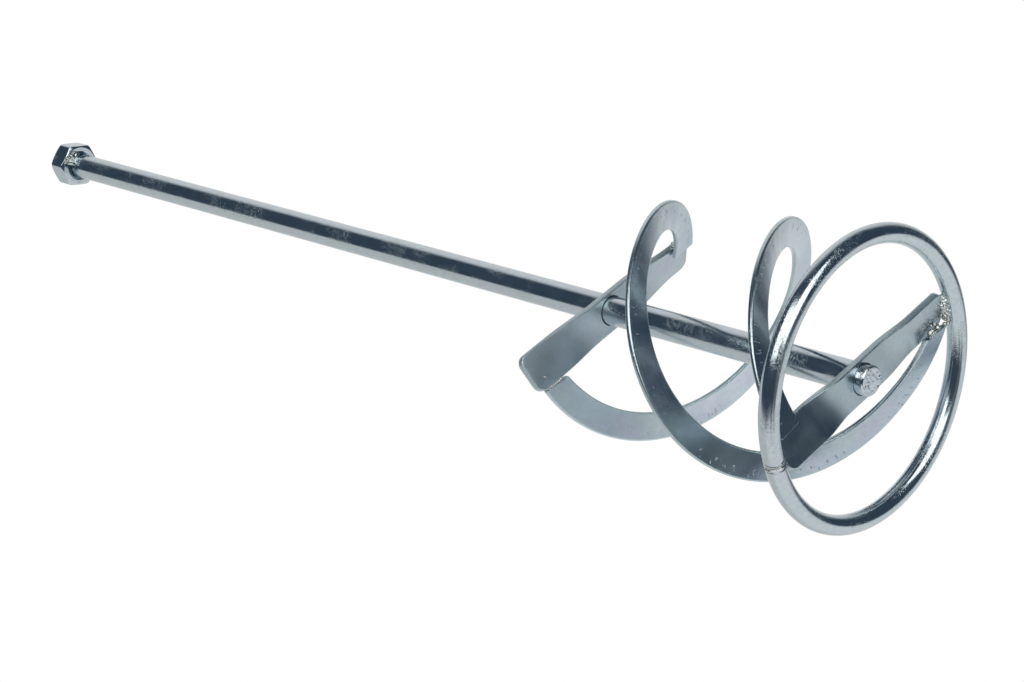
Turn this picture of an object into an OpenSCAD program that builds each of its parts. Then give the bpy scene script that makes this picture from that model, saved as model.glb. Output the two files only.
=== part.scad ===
// Mortar mixing paddle, upright: +Z runs up the shaft, Z = 0 is the underside of the guard ring.
// The crossbars run along X. Everything is welded steel: a shaft with a drive nut on top,
// two crossbars pushed onto the shaft, two spiral blades from bar to bar, and a guard ring.

/* [Shaft] */
// Height of the drive nut's top face above the ring's underside
overall_length = 523; // [330:1:700]
// Diameter of the round shaft
shaft_d = 12; // [10:0.5:15]
// Height of the shaft's lower end above the ring's underside
shaft_tip_z = 1.5; // [0.5:0.5:4]
// Bevel on both ends of the shaft
shaft_bevel = 0.6; // [0.2:0.1:1.2]

/* [Drive nut] */
// Width across the nut's flats
nut_af = 20; // [18:0.5:26]
// Height of the nut
nut_h = 10; // [8:0.5:16]
// Direction of one of the nut's corners, in degrees
nut_turn = 23; // [0:1:60]
// Wall diameter of the threaded hole, the pitch diameter of the mixer's M14 spindle
thread_d = 12.7; // [9:0.1:13.5]
// Bevel at the mouth of the threaded hole and of the shaft's seat
mouth_bevel = 1.2; // [0.4:0.1:1.6]
// How deep the shaft's upper end sits in the nut
seat_depth = 3; // [2:0.5:4]
// Radial gap between the shaft and its seat in the nut
seat_gap = 0.05; // [0.02:0.01:0.3]

/* [Guard ring] */
// Outer diameter of the ring
ring_od = 120; // [90:1:160]
// Diameter of the ring's round wire
ring_wire_d = 8; // [6:0.5:10]
// Direction of the ring's butt joint, in degrees
ring_seam_turn = 178; // [150:1:210]
// Width of the ring's butt joint, filled by its weld
ring_seam_w = 0.9; // [0.4:0.1:2]
// How far the joint's weld sinks below the wire's surface
ring_seam_sink = 0.3; // [0.1:0.1:0.6]

/* [Crossbars] */
// Width of both crossbars
bar_w = 16.6; // [13:0.2:20]
// Thickness of both crossbars
bar_t = 3; // [2.5:0.5:5]
// Corner radius of both crossbars
bar_corner_r = 4; // [1:0.5:6]
// Radial gap between the shaft and the crossbars' holes
bar_hole_gap = 0.15; // [0.05:0.05:0.4]
// Height of the front crossbar's lower face, near the ring
front_bar_z = 5.4; // [4:0.2:8]
// Turn of the front crossbar about the shaft from the X axis, in degrees
front_bar_turn = -3; // [-8:0.1:8]
// Sideways shift of the front crossbar from the shaft's axis
front_bar_shift = 0.2; // [-2:0.1:2]
// Gap between the front crossbar's ends and the ring's inner circle
front_bar_end_gap = 1.7; // [0.5:0.1:3]
// Half the length of the front crossbar's flat middle
front_bar_flat = 11; // [10:1:18]
// Length over which each end of the front crossbar twists
front_bar_twist_len = 20; // [14:1:20]
// Twist of the front crossbar's end at +X, in degrees
front_bar_twist_high = 13.5; // [0:0.5:30]
// Twist of its end at -X
front_bar_twist_low = 24; // [0:0.5:30]
// Height of the rear crossbar's lower face
rear_bar_z = 135.7; // [100:0.1:180]
// Turn of the rear crossbar about the shaft from the X axis, in degrees
rear_bar_turn = -2.3; // [-8:0.1:8]
// Sideways shift of the rear crossbar from the shaft's axis
rear_bar_shift = 0.5; // [-2:0.1:2]
// How far the rear crossbar stops short of the ring's inner circle at -X
rear_bar_short_low = 1.6; // [0:0.1:4]
// How far it stops short at +X
rear_bar_short_high = 3.8; // [0:0.1:5]
// Half the length of the rear crossbar's flat middle
rear_bar_flat = 9; // [9:1:24]
// Length over which each end of the rear crossbar twists
rear_bar_twist_len = 31; // [12:1:32]
// Twist of the rear crossbar's end at +X, in degrees
rear_bar_twist_high = 21; // [0:0.5:30]
// Twist of its end at -X
rear_bar_twist_low = 28; // [0:0.5:30]

/* [Spiral blades] */
// Width of the flat strip
blade_w = 12; // [9:0.1:18]
// Thickness of the flat strip
blade_t = 2.2; // [1.6:0.1:4]
// Blade A: outer radius beyond the ring's inner circle at its front end
blade_a_out_front = -3.6; // [-6:0.1:-0.2]
// Blade A: the same half way round
blade_a_out_mid = -1.9; // [-4:0.1:4]
// Blade A: the same at its rear end
blade_a_out_rear = -2.9; // [-6:0.1:2]
// Blade A: length of its lap under the front crossbar's rising edge
blade_a_lap_front = 2.2; // [0.2:0.1:4]
// Blade A: gap below that crossbar's face at the cut end, bridged by the weld
blade_a_gap = 0.8; // [0.2:0.1:2.5]
// Blade A: length of its lap under the rear crossbar's falling edge
blade_a_lap_rear = 3.2; // [0.5:0.1:6]
// Gap between blade A's top and the rear crossbar's edge, bridged by the weld
rear_gap = 0.2; // [0.1:0.1:1]
// Blade B: outer radius beyond the ring's inner circle at its front end
blade_b_out_front = -1.8; // [-6:0.1:-0.2]
// Blade B: the same half way round
blade_b_out_mid = 1.8; // [-4:0.1:4]
// Blade B: the same at its rear end
blade_b_out_rear = -4.3; // [-6:0.1:2]
// Blade B: rise of its middle above an even climb
blade_b_bow = 4; // [0:0.5:6]
// Blade B: length of its lap under the front crossbar's rising edge
blade_b_lap_front = 1; // [0.2:0.1:4]
// Blade B: gap below that crossbar's face at the cut end, bridged by the weld
blade_b_gap = 1.2; // [0.2:0.1:2.5]
// Blade B: gap between its rear end and the rear crossbar's edge, closed by weld
butt_gap = 0.3; // [0.1:0.1:1]

/* [Welds] */
// Leg of the weld beads round the shaft
shaft_bead = 1.4; // [1:0.1:4]
// Leg of the partial weld bead under the nut
nut_bead = 3; // [2:0.1:4]
// Arc of the bead under the nut, in degrees
nut_bead_arc = 75; // [60:5:300]
// Direction of the middle of that bead, in degrees
nut_bead_turn = 245; // [0:5:355]
// Leg of the weld beads at the blades' laps
blade_bead = 2.4; // [1.6:0.1:2.5]
// Length of the weld beads between the blades and the crossbars
blade_bead_len = 8; // [4:0.5:10]
// Height of the crown on the weld at blade B's rear end
weld_crown = 0.6; // [0.2:0.1:1.2]
// Radius of the weld beads that join the front crossbar to the ring
ring_bead_r = 2.8; // [2.4:0.1:3.5]

/* [Hidden] */
$fn = 64;
eps = 0.01;
zinc = [0.70, 0.74, 0.78];
bead_grey = [0.50, 0.50, 0.47];

shaft_r = shaft_d / 2;
wire_r = ring_wire_d / 2;
ring_mid_r = ring_od / 2 - wire_r;
cage_r = ring_od / 2 - ring_wire_d;
nut_z = overall_length - nut_h;
shaft_top_z = nut_z + seat_depth;
seat_r = shaft_r + seat_gap;
thread_r = thread_d / 2;
bar_hole_r = shaft_r + bar_hole_gap;
front_mid_z = front_bar_z + bar_t / 2;
rear_mid_z = rear_bar_z + bar_t / 2;

// Each end of a bar as [side, length from the shaft's axis, flat half, twist length, twist].
// Side is 1 at +X and -1 at -X, and both ends are described turned to +X.
front_high = [1, cage_r - front_bar_end_gap, front_bar_flat, front_bar_twist_len,
              front_bar_twist_high];
front_low = [-1, cage_r - front_bar_end_gap, front_bar_flat, front_bar_twist_len,
             front_bar_twist_low];
rear_high = [1, cage_r - rear_bar_short_high, rear_bar_flat, rear_bar_twist_len,
             rear_bar_twist_high];
rear_low = [-1, cage_r - rear_bar_short_low, rear_bar_flat, rear_bar_twist_len,
            rear_bar_twist_low];

// Smooth step from 0 to 1, and a bar's twist at distance x from the shaft's axis.
function ease(t) = let (s = max(0, min(1, t))) s * s * (3 - 2 * s);
function twist_at(end, x) = end[4] * ease((x - end[2]) / end[3]);

// A corner of a bar's end at distance x, as [y, z]. edge is 1 on its rising edge and -1 on the
// falling one, face is 1 on its upper face and -1 on the lower one.
function bar_corner(end, x, mid_z, shift, edge, face) =
    let (turn = twist_at(end, x))
    [
        end[0] * shift + edge * bar_w / 2 * cos(turn) - face * bar_t / 2 * sin(turn),
        mid_z + edge * bar_w / 2 * sin(turn) + face * bar_t / 2 * cos(turn)
    ];
corner_a_front = bar_corner(front_high, cage_r, front_mid_z, front_bar_shift, 1, -1);
corner_b_front = bar_corner(front_low, cage_r, front_mid_z, front_bar_shift, 1, -1);
corner_a_rear = bar_corner(rear_high, cage_r, rear_mid_z, rear_bar_shift, -1, -1);
// Blade B's rear end meets the falling edge at the middle of the strip's width.
butt_x = cage_r + blade_b_out_rear - blade_w / 2;
butt_low = bar_corner(rear_low, butt_x, rear_mid_z, rear_bar_shift, -1, -1);
butt_high = bar_corner(rear_low, butt_x, rear_mid_z, rear_bar_shift, -1, 1);

blade_steps = 72;
blade_pitch = rear_bar_z - front_bar_z;
// Slope of a strip at the ring's inner circle, and its upright half thickness there.
blade_slope = blade_pitch / (2 * PI * cage_r);
blade_half = blade_t / 2 * sqrt(1 + pow(blade_slope, 2));
blade_a_outs = [for (out = [blade_a_out_front, blade_a_out_mid, blade_a_out_rear]) cage_r + out];
blade_b_outs = [for (out = [blade_b_out_front, blade_b_out_mid, blade_b_out_rear]) cage_r + out];
// Planes of the cut ends, the front ones in the front bar's frame.
blade_a_y0 = corner_a_front[0] - blade_a_lap_front;
blade_b_y0 = corner_b_front[0] - blade_b_lap_front;
blade_a_y1 = corner_a_rear[0] + blade_a_lap_rear;
blade_b_y1 = butt_high[0] - butt_gap;
// Height of the front bar's lower face over each cut end.
face_a_z = corner_a_front[1] - blade_a_lap_front * tan(front_bar_twist_high);
face_b_z = corner_b_front[1] - blade_b_lap_front * tan(front_bar_twist_low);
// Height of a blade's middle under a bar's face, low enough for the blade to stay below that
// face along its lap.
function below(face_z, gap, lap, twist) =
    face_z - gap - blade_half - max(0, lap * (blade_slope - tan(twist)));
// Each blade climbs through two [angle, height] points, one at each bar. Both hang below the
// front bar by their inner corner. At the rear bar A passes below the falling edge, and B ends
// against it.
blade_a_from = [front_bar_turn + asin(blade_a_y0 / (blade_a_outs[0] - blade_w)),
                below(face_a_z, blade_a_gap, blade_a_lap_front, front_bar_twist_high)];
blade_b_from = [front_bar_turn + asin(blade_b_y0 / (blade_b_outs[0] - blade_w)),
                below(face_b_z, blade_b_gap, blade_b_lap_front, front_bar_twist_low)];
blade_a_to = [360 + rear_bar_turn + asin(corner_a_rear[0] / blade_a_outs[2]),
              below(corner_a_rear[1], rear_gap, blade_a_lap_rear, rear_bar_twist_high)];
blade_b_to = [360 + rear_bar_turn + asin(blade_b_y1 / butt_x), (butt_low[1] + butt_high[1]) / 2];

// Quadratic through three values at t = 0, 0.5 and 1.
function bow(a, b, c, t) = b + (c - a) / 2 * (2 * t - 1) + ((a + c) / 2 - b) * pow(2 * t - 1, 2);

// One corner of the strip at share t of its run. The strip starts on the front bar's plane
// y = y0, ends on the rear bar's plane y = y1 a full turn later, and climbs with the turned
// angle. lift raises it, and side is 1 on its upper face and -1 on the lower one.
function strip_corner(r, t, y0, y1, low, high, lift, side) =
    let (
        start = front_bar_turn + asin(y0 / r),
        stop = 360 + rear_bar_turn + asin(y1 / r),
        angle = start * (1 - t) + stop * t,
        climb = (high[1] - low[1]) / (high[0] - low[0]),
        slope = climb * 180 / PI / r,
        z = low[1] + climb * (angle - low[0]) + lift + side * blade_t / 2 * sqrt(1 + slope * slope)
    )
    [r * cos(angle), r * sin(angle), z];

// Triangles of a four-cornered tube through n sections, with both ends closed.
function tube_faces(n) = concat(
    [for (i = [0 : n - 2], k = [0 : 3]) [4 * i + k, 4 * i + (k + 1) % 4, 4 * i + 4 + (k + 1) % 4]],
    [for (i = [0 : n - 2], k = [0 : 3]) [4 * i + k, 4 * i + 4 + (k + 1) % 4, 4 * i + 4 + k]],
    [[3, 2, 1, 0]],
    [[4 * n - 4, 4 * n - 3, 4 * n - 2, 4 * n - 1]]
);

// A flat strip wound one turn, right-handed, from +X back to +X. outs holds the outer radius at
// its start, middle and end, low and high are the [angle, height] points, and rise is how far
// its middle stands above an even climb.
module strip(outs, y0, y1, low, high, rise) {
    sections = [for (i = [0 : blade_steps])
        let (
            t = i / blade_steps,
            r = bow(outs[0], outs[1], outs[2], t),
            q = r - blade_w,
            lift = bow(0, rise, 0, t)
        )
        each [
            strip_corner(q, t, y0, y1, low, high, lift, -1),
            strip_corner(q, t, y0, y1, low, high, lift, 1),
            strip_corner(r, t, y0, y1, low, high, lift, 1),
            strip_corner(r, t, y0, y1, low, high, lift, -1)
        ]
    ];
    polyhedron(points = sections, faces = tube_faces(blade_steps + 1), convexity = 8);
}

// A bar's end beyond its flat middle, turned to +X. It is twisted about its own centre line and
// rounded at the corners.
module twisted_end(end, mid_z, shift) {
    straight_end = end[1] - bar_corner_r;
    xs = concat(
        [for (i = [0 : 12]) end[2] + (straight_end - end[2]) * i / 12],
        [for (a = [15 : 15 : 90]) straight_end + bar_corner_r * sin(a)]
    );
    sections = [for (x = xs)
        let (
            past = max(0, x - straight_end),
            half_w = bar_w / 2 - bar_corner_r + sqrt(max(0, pow(bar_corner_r, 2) - past * past)),
            turn = twist_at(end, x)
        )
        for (c = [[-1, -1], [-1, 1], [1, 1], [1, -1]])
        [
            x,
            end[0] * shift + c[0] * half_w * cos(turn) - c[1] * bar_t / 2 * sin(turn),
            mid_z + c[0] * half_w * sin(turn) + c[1] * bar_t / 2 * cos(turn)
        ]
    ];
    polyhedron(points = sections, faces = tube_faces(len(xs)), convexity = 4);
}

// A bar along X with a hole for the shaft and both ends twisted the same way.
module bar(high, low, mid_z, shift) {
    twisted_end(high, mid_z, shift);
    rotate([0, 0, 180]) twisted_end(low, mid_z, shift);
    difference() {
        translate([-low[2], shift - bar_w / 2, mid_z - bar_t / 2])
            cube([low[2] + high[2], bar_w, bar_t]);
        translate([0, 0, mid_z - bar_t]) cylinder(h = 2 * bar_t, r = bar_hole_r);
    }
}

// Places what follows in the frame of the bar turned by turn, with that end turned to +X.
module at_end(turn, end) {
    rotate([0, 0, turn + (end[0] > 0 ? 0 : 180)]) children();
}

// Convex bead section on the shaft: leg along the shaft and leg away from it. up is 1 when the
// bead rises from height z, and -1 when it hangs from it.
module bead_section(leg, z, up) {
    polygon(concat(
        [[shaft_r, z]],
        [for (a = [0 : 15 : 90]) [shaft_r + leg * cos(a), z + up * leg * sin(a)]]
    ));
}

// Convex bead of constant section that ends at x = to_x. Its section fills the corner between
// the vectors v and w, all of them [y, z].
module corner_bead(to_x, corner, v, w) {
    translate([to_x - blade_bead_len, 0, 0])
        rotate([90, 0, 90])
            linear_extrude(height = blade_bead_len)
                polygon(concat(
                    [corner],
                    [for (a = [0 : 15 : 90]) corner + cos(a) * v + sin(a) * w]
                ));
}

module shaft() {
    color(zinc)
        rotate_extrude()
            polygon([
                [0, shaft_tip_z],
                [shaft_r - shaft_bevel, shaft_tip_z],
                [shaft_r, shaft_tip_z + shaft_bevel],
                [shaft_r, shaft_top_z - shaft_bevel],
                [shaft_r - shaft_bevel, shaft_top_z],
                [0, shaft_top_z]
            ]);
}

// Hexagon nut with both faces bevelled at 30 degrees. Its bore is threaded above and is the seat
// of the shaft's end below.
module drive_nut() {
    corner_r = nut_af / 2 / cos(30);
    face_r = nut_af / 2 - 0.3;
    bevel_h = (corner_r - face_r) * tan(30);
    color(zinc)
        translate([0, 0, nut_z])
            difference() {
                intersection() {
                    rotate([0, 0, nut_turn]) cylinder(h = nut_h, r = corner_r, $fn = 6);
                    rotate_extrude()
                        polygon([
                            [0, 0],
                            [face_r, 0],
                            [corner_r + eps, bevel_h],
                            [corner_r + eps, nut_h - bevel_h],
                            [face_r, nut_h],
                            [0, nut_h]
                        ]);
                }
                rotate_extrude()
                    polygon([
                        [0, -1],
                        [seat_r + mouth_bevel + 1, -1],
                        [seat_r, mouth_bevel],
                        [seat_r, seat_depth],
                        [thread_r, seat_depth],
                        [thread_r, nut_h - mouth_bevel],
                        [thread_r + mouth_bevel + 1, nut_h + 1],
                        [0, nut_h + 1]
                    ]);
            }
}

module front_crossbar() {
    color(zinc)
        at_end(front_bar_turn, front_high)
            bar(front_high, front_low, front_mid_z, front_bar_shift);
}

module rear_crossbar() {
    color(zinc)
        at_end(rear_bar_turn, rear_high)
            bar(rear_high, rear_low, rear_mid_z, rear_bar_shift);
}

module spiral_blade_a() {
    color(zinc) strip(blade_a_outs, blade_a_y0, blade_a_y1, blade_a_from, blade_a_to, 0);
}

module spiral_blade_b() {
    color(zinc)
        rotate([0, 0, 180])
            strip(blade_b_outs, blade_b_y0, blade_b_y1, blade_b_from, blade_b_to, blade_b_bow);
}

// The ring is one bent wire whose two ends face each other across the seam.
seam_arc = ring_seam_w / ring_mid_r * 180 / PI;

module guard_ring() {
    color(zinc)
        translate([0, 0, wire_r])
            rotate([0, 0, ring_seam_turn + seam_arc / 2])
                rotate_extrude(angle = 360 - seam_arc)
                    translate([ring_mid_r, 0]) circle(r = wire_r);
}

module ring_seam_weld() {
    color(bead_grey)
        translate([0, 0, wire_r])
            rotate([0, 0, ring_seam_turn - seam_arc / 2])
                rotate_extrude(angle = seam_arc)
                    translate([ring_mid_r, 0]) circle(r = wire_r - ring_seam_sink);
}

module nut_weld() {
    color(bead_grey)
        rotate([0, 0, nut_bead_turn - nut_bead_arc / 2])
            rotate_extrude(angle = nut_bead_arc)
                bead_section(nut_bead, nut_z, -1);
}

module front_bar_shaft_weld() {
    color(bead_grey) rotate_extrude() bead_section(shaft_bead, front_bar_z + bar_t, 1);
}

module rear_bar_shaft_weld() {
    color(bead_grey) rotate_extrude() bead_section(shaft_bead, rear_bar_z + bar_t, 1);
}

// Bead that hangs from the front bar's leaning lower face and runs down a blade's cut end, in
// the bar's frame. y is the plane of the cut end and face_z the bar's face there.
module hanging_bead(end, y, face_z, gap) {
    corner_bead(
        end[1] - bar_corner_r,
        [y, face_z],
        [-blade_bead, -blade_bead * tan(end[4])],
        [0, -gap - blade_t]
    );
}

module blade_a_front_weld() {
    color(bead_grey)
        at_end(front_bar_turn, front_high)
            hanging_bead(front_high, blade_a_y0, face_a_z, blade_a_gap);
}

module blade_b_front_weld() {
    color(bead_grey)
        at_end(front_bar_turn, front_low)
            hanging_bead(front_low, blade_b_y0, face_b_z, blade_b_gap);
}

// Bead on blade A's top face, against the rear bar's falling edge.
module blade_a_rear_weld() {
    color(bead_grey)
        at_end(rear_bar_turn, rear_high)
            corner_bead(
                rear_high[1] - bar_corner_r,
                corner_a_rear,
                [-blade_bead, -rear_gap - blade_bead * blade_slope],
                blade_bead * [-sin(rear_bar_twist_high), cos(rear_bar_twist_high)]
            );
}

// Weld that fills the gap between the rear bar's falling edge and blade B's cut end, with a
// crown over both faces of the bar.
module blade_b_rear_weld() {
    turn = twist_at(rear_low, butt_x);
    inward = weld_crown * [cos(turn), sin(turn)];
    outward = weld_crown * [sin(turn), -cos(turn)];
    color(bead_grey)
        at_end(rear_bar_turn, rear_low)
            translate([butt_x - blade_bead_len / 2, 0, 0])
                rotate([90, 0, 90])
                    linear_extrude(height = blade_bead_len)
                        polygon([
                            butt_low,
                            butt_low + 2 * inward,
                            butt_low + inward + outward,
                            [blade_b_y1, butt_low[1] - weld_crown],
                            [blade_b_y1, butt_high[1] + weld_crown],
                            butt_high + inward - outward,
                            butt_high + 2 * inward,
                            butt_high
                        ]);
}

// Weld between an end of the front bar and the inside of the ring, with that end at +X. It is a
// bead that follows the bar's tilt, cut off at the bar's end and at the ring.
module ring_bar_bead(end) {
    difference() {
        translate([cage_r - front_bar_end_gap / 2, end[0] * front_bar_shift, front_mid_z])
            rotate([end[4] - 90, 0, 0])
                cylinder(h = bar_w - bar_corner_r, r = ring_bead_r, center = true);
        translate([end[1] - ring_od / 2, -ring_od / 2, -ring_od / 2])
            cube([ring_od / 2, ring_od, ring_od]);
        translate([0, 0, wire_r])
            rotate_extrude() translate([ring_mid_r, 0]) circle(r = wire_r);
    }
}

module ring_bar_weld_a() {
    color(bead_grey) at_end(front_bar_turn, front_high) ring_bar_bead(front_high);
}

module ring_bar_weld_b() {
    color(bead_grey) at_end(front_bar_turn, front_low) ring_bar_bead(front_low);
}

shaft();
drive_nut();
front_crossbar();
rear_crossbar();
spiral_blade_a();
spiral_blade_b();
guard_ring();
nut_weld();
front_bar_shaft_weld();
rear_bar_shaft_weld();
blade_a_front_weld();
blade_a_rear_weld();
blade_b_front_weld();
blade_b_rear_weld();
ring_seam_weld();
ring_bar_weld_a();
ring_bar_weld_b();
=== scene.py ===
"""Looks of a welded, zinc plated mortar mixing paddle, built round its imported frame.

The paddle stands on its guard ring with the shaft upright. Sizes are in millimetres in the
classes below and turn into metres where a mesh is made.
"""

import logging
import math
from dataclasses import dataclass, field
from enum import Enum
from typing import Callable

import bmesh
import bpy
import numpy as np
from mathutils import Matrix, Vector

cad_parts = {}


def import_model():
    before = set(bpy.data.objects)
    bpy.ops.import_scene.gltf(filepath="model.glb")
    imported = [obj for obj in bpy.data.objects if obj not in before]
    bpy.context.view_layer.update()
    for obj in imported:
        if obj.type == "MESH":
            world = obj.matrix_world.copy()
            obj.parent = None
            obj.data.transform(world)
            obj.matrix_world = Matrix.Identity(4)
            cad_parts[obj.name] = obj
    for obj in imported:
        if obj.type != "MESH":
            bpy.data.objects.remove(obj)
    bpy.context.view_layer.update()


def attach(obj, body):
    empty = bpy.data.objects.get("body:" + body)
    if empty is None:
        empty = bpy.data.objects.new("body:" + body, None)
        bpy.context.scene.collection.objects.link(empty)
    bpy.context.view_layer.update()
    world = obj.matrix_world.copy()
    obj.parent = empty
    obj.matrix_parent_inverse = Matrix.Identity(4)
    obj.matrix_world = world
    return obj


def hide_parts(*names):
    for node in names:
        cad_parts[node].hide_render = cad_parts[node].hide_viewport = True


LOG = logging.getLogger("paddle")
MM = 0.001
BODY = "root"
Array = np.ndarray


class Slot(Enum):
    """Material slots of the record."""

    ZINC = "zinc_steel"
    WELD = "weld_metal"


# ---------------------------------------------------------------- shapes


def ease(t: Array) -> Array:
    """Smooth step 3t^2 - 2t^3 on t held between 0 and 1."""
    s = np.clip(t, 0.0, 1.0)
    return s * s * (3 - 2 * s)


def lumps(points: Array, size: float, seed: int, waves: int = 14) -> Array:
    """Smooth noise from about -1 to 1: a mean of sine waves in seeded random directions.

    Args:
        points: Places in millimetres, any shape ending in 3.
        size: Length of a lump in millimetres.
        seed: Seed of the directions and phases.
        waves: Number of sine waves.

    Returns:
        One value for each point.
    """
    rng = np.random.default_rng(seed)
    ways = rng.normal(size=(waves, 3))
    ways *= (rng.uniform(0.6, 1.6, waves) / np.linalg.norm(ways, axis=1))[:, None]
    phase = rng.uniform(0, 2 * np.pi, waves)
    turns = np.asarray(points) @ ways.T * (np.pi / size) + phase
    return np.sin(turns).sum(axis=-1) * math.sqrt(2 / waves) * 0.7


def turned(points: Array, degrees: float) -> Array:
    """Points turned about the shaft's axis: x' = x cos - y sin, y' = x sin + y cos."""
    a = math.radians(degrees)
    c, s = math.cos(a), math.sin(a)
    x, y, z = np.moveaxis(points, -1, 0)
    return np.stack([x * c - y * s, x * s + y * c, z], axis=-1)


def lesser(a: Array, b: Array | float, sharp: float) -> Array:
    """Lesser of two values with a rounded corner between them: -log(e^-ka + e^-kb) / k."""
    return -np.logaddexp(-a * sharp, -b * sharp) / sharp


def rounded_section(width: float, height: float, radius: float, steps: int = 5,
                    flats: int = 9) -> Array:
    """Outline of a rectangle with quarter circles at its corners, as [n, 2] places round 0, 0.

    Each corner is centre + radius * (cos a, sin a); flats more points lie between the corners.
    """
    w, h = width / 2 - radius, height / 2 - radius
    a = np.linspace(0, np.pi / 2, steps)
    parts = []
    for k, (sx, sy) in enumerate(((1, 1), (-1, 1), (-1, -1), (1, -1))):
        b = a + k * np.pi / 2
        parts.append(np.stack([sx * w + radius * np.cos(b), sy * h + radius * np.sin(b)], 1))
    loop = []
    for k, part in enumerate(parts):
        after = parts[(k + 1) % 4][0]
        t = np.concatenate([[0.02], np.linspace(0, 1, flats)[1:-1], [0.98]])[:, None]
        loop += [part, part[-1] * (1 - t) + after * t]
    return np.concatenate(loop)


@dataclass
class Skin:
    """Grids of points joined into one closed mesh, with values kept at each point."""

    name: str
    slot: Slot
    points: list[Array] = field(default_factory=list)
    faces: list[Array] = field(default_factory=list)
    values: list[Array] = field(default_factory=list)

    def add(self, grid: Array, across: Array | float = 0.0, along: Array | float = 0.0,
            close_u: bool = False, close_v: bool = False) -> None:
        """Adds the quads of one grid.

        Args:
            grid: Places in millimetres, [n, m, 3].
            across: Value from -1 to 1 across a strip, or a grid of them.
            along: Distance along a strip in millimetres, or a grid of them.
            close_u: Whether row n - 1 joins row 0.
            close_v: Whether column m - 1 joins column 0.
        """
        n, m, _ = grid.shape
        start = sum(len(p) for p in self.points)
        index = np.arange(n * m).reshape(n, m) + start
        if close_u:
            index = np.vstack([index, index[:1]])
        if close_v:
            index = np.hstack([index, index[:, :1]])
        quads = np.stack([index[:-1, :-1], index[1:, :-1], index[1:, 1:], index[:-1, 1:]], -1)
        self.faces.append(quads.reshape(-1, 4))
        self.points.append(grid.reshape(-1, 3))
        both = np.stack([np.broadcast_to(across, (n, m)), np.broadcast_to(along, (n, m))], -1)
        self.values.append(both.reshape(-1, 2).astype(np.float32))

    def cap(self, loop: Array, centre: Array, shares: tuple[float, ...] = (0.9, 0.6, 0.3, 0.0),
            shift: Callable[[Array], Array] | None = None, across: Array | float = 0.0,
            along: float = 0.0) -> None:
        """Closes a loop of points with shrinking copies of it that end in its centre.

        Args:
            loop: Places of the open edge, [m, 3].
            centre: Place in the middle, [3].
            shares: Sizes of the copies, ending in 0.
            shift: Moves the inner points, such as for a rough face.
            across: Value kept at the points.
            along: Value kept at the points.
        """
        t = np.array((1.0,) + shares)[:, None, None]
        grid = centre + t * (loop[None] - centre)
        if shift is not None:
            grid[1:] = shift(grid[1:])
            grid[-1] = grid[-1].mean(axis=0)
        self.add(grid, across, along, close_v=True)

    def build(self, material: bpy.types.Material, nodes: tuple[str, ...]) -> bpy.types.Object:
        """Makes the object, smooth and merged with its normals outwards, and rides it on the body.

        Args:
            material: Finish of the piece.
            nodes: CAD nodes that the piece stands for.

        Returns:
            The new object.
        """
        mesh = bpy.data.meshes.new(self.name)
        points = np.concatenate(self.points) * MM
        mesh.from_pydata(points.tolist(), [], np.concatenate(self.faces).tolist())
        values = np.concatenate(self.values)
        for k, kind in enumerate(("across", "along")):
            layer = mesh.attributes.new(kind, "FLOAT", "POINT")
            layer.data.foreach_set("value", np.ascontiguousarray(values[:, k]))
        work = bmesh.new()
        work.from_mesh(mesh)
        bmesh.ops.remove_doubles(work, verts=work.verts, dist=2e-6)
        bmesh.ops.dissolve_degenerate(work, edges=work.edges, dist=1e-7)
        bmesh.ops.recalc_face_normals(work, faces=work.faces)
        work.to_mesh(mesh)
        work.free()
        mesh.polygons.foreach_set("use_smooth", np.ones(len(mesh.polygons), bool))
        mesh.materials.append(material)
        mesh.update()
        piece = bpy.data.objects.new(self.name, mesh)
        bpy.context.scene.collection.objects.link(piece)
        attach(piece, BODY)
        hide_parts(*nodes)
        LOG.info("%s: %d faces", self.name, len(mesh.polygons))
        return piece


# ---------------------------------------------------------------- finishes


@dataclass(frozen=True)
class Steel:
    """Plated steel: colours, gloss and grain of one finish.

    Grain and dents are bump distances in metres, and sparkle scales the bright specks. Above the
    front crossbar, dull_rear multiplies roughness, and the rear colour factor multiplies colour as
    painted light that stands in for brighter reflections on the rear.
    """

    name: str
    body: tuple[float, float, float]
    warm: tuple[float, float, float]
    cool: tuple[float, float, float]
    rough_low: float
    rough_high: float
    grain: float
    dents: float
    sparkle: float = 1.0
    nicked: bool = False
    dull_rear: float = 1.0
    # Painted light: factor on the colour of the rear part, raised to stand in for the brighter
    # light it reflects.
    rear_painted_light: float = 1.0


ZINC = Steel("zinc_plate", (0.665, 0.75, 0.80), (0.69, 0.735, 0.80), (0.68, 0.775, 0.785),
             0.10, 0.17, grain=0.000020, dents=0.000006, sparkle=2.1)
FRONT_ZINC = Steel("zinc_plate_front_bar", (0.51, 0.615, 0.665), (0.545, 0.595, 0.67),
                   (0.53, 0.645, 0.665), 0.24, 0.33, grain=0.000016, dents=0.00002,
                   sparkle=0.5)
REAR_ZINC = Steel("zinc_plate_rear_bar", (0.57, 0.68, 0.74), (0.61, 0.66, 0.75),
                  (0.61, 0.71, 0.73), 0.35, 0.45, grain=0.000022, dents=0.00002, sparkle=0.7)
BLADE_A_ZINC = Steel("zinc_plate_blade_a", (0.57, 0.68, 0.75), (0.61, 0.655, 0.755),
                     (0.62, 0.73, 0.745), 0.17, 0.26, grain=0.000014, dents=0.00002,
                     sparkle=0.5, nicked=True, dull_rear=1.3)
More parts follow.
